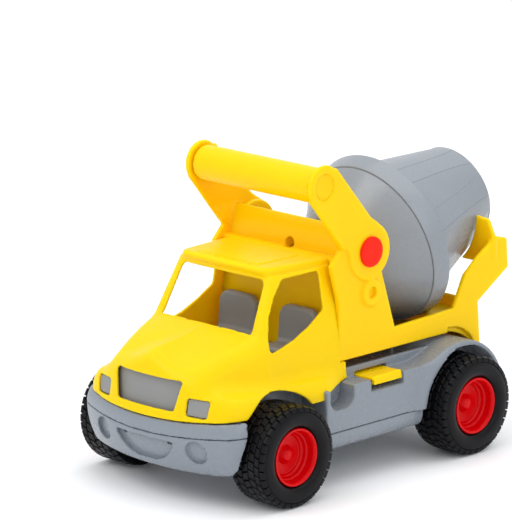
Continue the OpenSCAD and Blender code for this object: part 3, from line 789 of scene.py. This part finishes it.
STRIPS = 8
STRIP_STEP = 2 * math.pi / STRIPS
STRIP_TURN = math.radians(26.5)
GROOVE = 0.45     # half the width of a groove
GROOVE_DEPTH = 0.35


def strip_half(s):
    """Half the angle that a strip takes up at a station on the drum's axis."""
    return np.radians(np.interp(s, [87, 110, 130, 147, 163, 178, 181],
                                [8.7, 9.2, 9.5, 10.2, 11.4, 14.1, 15.0]))


def cone_angles(s, r):
    """Where one ring has its corners: two on each side of every groove, and between."""
    half = strip_half(s)
    fine = GROOVE / r
    one = [-half - fine, -half, -half + fine]
    one += list(np.linspace(-half + fine, half - fine, 8)[1:-1])
    one += [half - fine, half, half + fine]
    gap = STRIP_STEP - 2 * half - 2 * fine
    one += [half + fine + gap * i / 12 for i in range(1, 12)]
    return np.concatenate([np.array(one) + STRIP_TURN + i * STRIP_STEP for i in range(STRIPS)])


def cone_radius(s, r, outside):
    """Flattens each strip a little and sinks the groove on both of its edges."""
    half = strip_half(s)
    angle = cone_angles(s, r) - STRIP_TURN
    if not outside:
        return np.full(angle.shape, r)
    off = np.abs((angle + STRIP_STEP / 2) % STRIP_STEP - STRIP_STEP / 2)
    flat = np.where(off < half, np.cos(half) / np.cos(off), 1.0)
    sunk = np.where(np.abs(off - half) < 1e-6, GROOVE_DEPTH, 0.0)
    return r * (0.5 + 0.5 * flat) - sunk


def fine_profile(points, length=6.0):
    """Adds stations to the long straight runs of an outline."""
    pts = [np.array(p, float) for p in points]
    out = []
    for a, b in zip(pts, pts[1:] + pts[:1]):
        n = max(1, int(np.linalg.norm(b - a) // length))
        out += [a + (b - a) * i / n for i in range(n)]
    return out


def drum_cone():
    front = fine_profile(softened([
        (SEAM_R - 2.5, 69.9), (SEAM_R + 0.9, 69.9), (COLLAR_R, 86), (COLLAR_R - 0.7, 86.6),
        (THROAT_R + 0.5, 86.6), (THROAT_R, 84)], 0.8))
    front = [tuple(p) for p in front if not (p[0] < THROAT_R + 1 and p[1] > 80)]
    back = [(THROAT_R - (THROAT_R - MOUTH_R) * t, CONE_S + 93.3 * t)
            for t in np.linspace(0, 1, 24)]
    rim = [(MOUTH_R - 0.3, RIM_S - 0.2), (MOUTH_R - 0.9, RIM_S),
           (MOUTH_R - 1.9, RIM_S), (MOUTH_R - 2.4, RIM_S - 0.4)]
    inner = [(THROAT_R - 2.5 - (THROAT_R - MOUTH_R + 0.1) * t, 84.5 + 95.5 * t)
             for t in np.linspace(1, 0, 16)] + [(COLLAR_R - 4, 84)]
    points, turns = [], len(cone_angles(100.0, 60.0))
    rings = front + back + rim + inner
    for r, s in rings:
        angle = cone_angles(s, r)
        reach = cone_radius(s, r, (r, s) in back)
        points.append(np.stack([reach * np.cos(angle), reach * np.sin(angle),
                                np.full(turns, s)], -1))
    mesh = turned_mesh("drum_cone_moulding", np.concatenate(points),
                       ring_faces(len(rings), turns), DRUM_STAND, 25)
    place("drum_cone_moulding", mesh, "drum", "drum_cone", GREY_DRUM)


drum_cone()

bowl_outline = softened([
    (7, 26), (12, 26), (12, 29), (36, 29), (42, 30.5), (46.5, 35.5), (SEAM_R, 69.6),
    (SEAM_R - 2.5, 69.6), (43.5, 36), (38, 31.5), (12, 31.5), (12, 42), (7, 42)], 3.5, 5)
lathe("drum_bowl_moulding", fine_profile(bowl_outline), 160, DRUM_STAND,
      "drum", "drum_bowl", GREY_DRUM)


# ---------------------------------------------------------------- cradle

BEAM = (-20.0, 153.0)


def cradle_field(x, y, z):
    y = np.abs(y)
    ear = join(bar(x, z, *PIVOT, 22.8), bar(x, z, *BEAM, 9.0))
    neck = polygon(x, z, [(-28, 150), (-11, 150), (1, 172), (8, 182), (-33, 184), (-32, 170)], 2)
    ear = meet(join(ear, neck, 5), slab(y, 60, 65.6), 1.2)
    beam = bar(x, z, *BEAM, 8.8)
    body = join(ear, np.maximum(beam, y - 62), 3)
    along, r = drum_place(x, y, z)
    body = join(body, meet(r - 12, slab(along, -4, 20), 0.8), 3)
    body = cut(body, np.maximum(r - 4.02, -2 - along))
    return cut(body, bar(x, z, *PIVOT, PIN_BORE))


moulding("drum_cradle_moulding", cradle_field, (-50, -67, 142), (12, 67, 214), 1.7,
         "cradle", "drum_cradle", YELLOW)


# ---------------------------------------------------------------- wheels

HUB_OUTLINE = softened([
    (2.5, 67), (6, 67), (6, 89), (21, 89), (21, 74), (24, 74), (24, 104.5), (24.6, 105.6),
    (24.4, 106.6), (23.4, 106.9), (22.3, 106.4), (21.2, 104.2), (20.6, 99), (19.2, 98.4),
    (18.6, 95.5), (17.2, 94.6), (16.5, 92.8), (8, 92.6), (5.8, 95.6), (4.2, 97.6), (1.8, 98.2),
    (0.02, 98.0), (0.02, 97.2), (2.5, 97.2)], 0.5, 2)

TYRE_R = 43.0
TREAD_R = 41.0
TYRE_OUTLINE = softened([
    (24.0, 74), (28, 71), (35, 70), (39.3, 72), (40.6, 76), (TREAD_R, 82), (TREAD_R, 99),
    (40.4, 104), (39.4, 106.4), (38.4, 107.2), (37.2, 108.6), (34, 109), (30, 108.9),
    (27.2, 108.0), (25.2, 105.4), (24.2, 103), (24.0, 101)], 1.2, 3)

# tread rows: inner and outer edge, share of a pitch that the row is turned by, slant
TREAD_ROWS = [
    (71.0, 77.2, 0.0, -0.18), (77.9, 84.4, 0.5, 0.22), (85.1, 91.5, 0.0, -0.22),
    (92.2, 98.6, 0.5, 0.22), (99.3, 104.0, 0.0, 0.18), (104.5, 107.6, 0.5, 0.0)]
LUG_COUNT = 34
LUG_SHARE = 0.84      # of a pitch that is rubber; the rest is gap
TREAD_MID = 89.2


def tread_height(y):
    """Outer radius of the lugs: rounded down towards both shoulders."""
    edge = np.maximum(np.abs(y - TREAD_MID) - 13.5, 0)
    return TYRE_R - 0.055 * edge * edge


def lug(y0, y1, start, slant, pitch):
    """A chamfered block on the tread: foot, waist and crown rings of corners."""
    points = []
    for inset, sink in ((-0.35, 3.0), (0.0, 0.55), (0.55, 0.0)):
        a0, a1 = start + inset / TYRE_R, start + pitch * LUG_SHARE - inset / TYRE_R
        for y, a in ((y0 + inset, a0), (y0 + inset, a1), (y1 - inset, a1), (y1 - inset, a0)):
            r = float(tread_height(y)) - sink
            turn = a + slant * (1 if y > (y0 + y1) / 2 else 0) * pitch
            points.append((r * math.cos(turn), r * math.sin(turn), y))
    faces = []
    for ring in (0, 4):
        for i in range(4):
            j = (i + 1) % 4
            faces.append((ring + i, ring + j, ring + 4 + j, ring + 4 + i))
    faces.append((8, 9, 10, 11))
    return points, faces


def tyre_mesh():
    points, faces = turned(TYRE_OUTLINE, 128)
    points, faces = [tuple(p) for p in points], list(faces)
    pitch = 2 * math.pi / LUG_COUNT
    for y0, y1, share, slant in TREAD_ROWS:
        for i in range(LUG_COUNT):
            more, sides = lug(y0, y1, (i + share - LUG_SHARE / 2) * pitch, slant, pitch)
            base = len(points)
            points += more
            faces += [tuple(base + v for v in f) for f in sides]
    return np.array(points), faces


TYRE_POINTS, TYRE_FACES = tyre_mesh()


def wheel(x, side, where, body):
    stand = ((x, 0, AXLE_Z), (0, side, 0), (0, 0, -1))
    name = f"{where}_{'left' if side > 0 else 'right'}"
    lathe(f"hub_{name}_moulding", HUB_OUTLINE, 96, stand,
          body, f"hub_{name}", RED_HUB)
    mesh = turned_mesh(f"tyre_{name}", TYRE_POINTS, TYRE_FACES, stand, 32)
    place(f"tyre_{name}_rubber", mesh, body, f"tyre_{name}", RUBBER)


for side in (1, -1):
    wheel(AXLE_X, side, "front", "front_wheelset")
    wheel(-AXLE_X, side, "rear", "rear_wheelset")


# ---------------------------------------------------------------- pins

PIN_OUTLINE = softened([
    (0.02, 58), (5, 58), (5, 73), (13, 73), (13, 75.0), (12.2, 75.6), (0.02, 75.9)], 0.5, 2)
for side, name in ((1, "left"), (-1, "right")):
    lathe(f"pivot_pin_{name}_moulding", PIN_OUTLINE, 64,
          ((PIVOT[0], 0, PIVOT[1]), (0, side, 0), (1, 0, 0)),
          "truck", f"pivot_pin_{name}", RED_PIN)


# ---------------------------------------------------------------- dress the CAD nodes

FINISH = {
    "chassis_upper": GREY, "chassis_lower": GREY, "front_panel": GREY_PANEL,
    "cab_interior": GREY_SEAT, "mixer_frame": YELLOW, "pivot_pin_left": RED_PIN,
    "pivot_pin_right": RED_PIN, "latch_left": YELLOW, "latch_right": YELLOW,
    "drum_cradle": YELLOW, "drum_spindle": STEEL, "spindle_washer": STEEL,
    "spindle_screw": STEEL, "drum_bush": WHITE, "drum_bowl": GREY_DRUM,
    "drum_cone": GREY_DRUM, "front_axle": STEEL, "rear_axle": STEEL,
    "hub_front_left": RED_HUB, "hub_front_right": RED_HUB, "hub_rear_left": RED_HUB,
    "hub_rear_right": RED_HUB, "tyre_front_left": RUBBER, "tyre_front_right": RUBBER,
    "tyre_rear_left": RUBBER, "tyre_rear_right": RUBBER, "axle_bushes": WHITE,
    "chassis_screws": STEEL, "body_screws": STEEL, "cab_shell": YELLOW,
    "cab_roof": YELLOW,
}
for node_name, finish in FINISH.items():
    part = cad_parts[node_name]
    part.data.materials.clear()
    part.data.materials.append(finish)


# ---------------------------------------------------------------- stage

def floor():
    mesh = bpy.data.meshes.new("floor")
    size = 6.0
    mesh.from_pydata([(-size, -size, 0), (size, -size, 0), (size, size, 0), (-size, size, 0)],
                     [], [(0, 1, 2, 3)])
    mat, _, shader = nodes_of("pale floor")
    shader.inputs["Base Color"].default_value = (0.93, 0.93, 0.94, 1)
    shader.inputs["Roughness"].default_value = 0.7
    mesh.materials.append(mat)
    obj = bpy.data.objects.new("floor", mesh)
    bpy.context.scene.collection.objects.link(obj)


def softbox(name, place_m, aim_m, size, power, tint=(1, 1, 1)):
    light = bpy.data.lights.new(name, "AREA")
    light.shape = "RECTANGLE"
    light.size, light.size_y = size
    light.energy = power
    light.color = tint
    obj = bpy.data.objects.new(name, light)
    bpy.context.scene.collection.objects.link(obj)
    obj.location = place_m
    obj.rotation_euler = (Vector(aim_m) - Vector(place_m)).to_track_quat("-Z", "Y").to_euler()


CAMERA_AT = (2557.2, 2464.4, 1039.7)
CAMERA_LOOK = (-0.69290, -0.68084, -0.23737)
CAMERA_LENS = 299.6
DAYLIGHT = (0.97, 0.985, 1.0)


def camera():
    data = bpy.data.cameras.new("camera")
    data.sensor_width = 36.0
    data.lens = CAMERA_LENS
    data.clip_end = 50
    obj = bpy.data.objects.new("camera", data)
    bpy.context.scene.collection.objects.link(obj)
    obj.location = metres(CAMERA_AT)
    obj.rotation_euler = Vector(CAMERA_LOOK).to_track_quat("-Z", "Y").to_euler()
    bpy.context.scene.camera = obj


floor()
softbox("key", (1.6, -0.5, 1.9), (0, 0, 0.1), (1.4, 1.4), 18)
softbox("fill", (0.4, 2.4, 1.3), (0, 0, 0.1), (1.8, 1.6), 11, DAYLIGHT)
softbox("top", (-0.4, 0.2, 2.2), (0, 0, 0), (2.2, 2.2), 18)
camera()

scene = bpy.context.scene
world = bpy.data.worlds.new("studio")
world.use_nodes = True
world.node_tree.nodes["Background"].inputs[0].default_value = (*DAYLIGHT, 1)
world.node_tree.nodes["Background"].inputs[1].default_value = 0.95
scene.world = world
scene.view_settings.view_transform = "Standard"
scene.view_settings.look = "None"
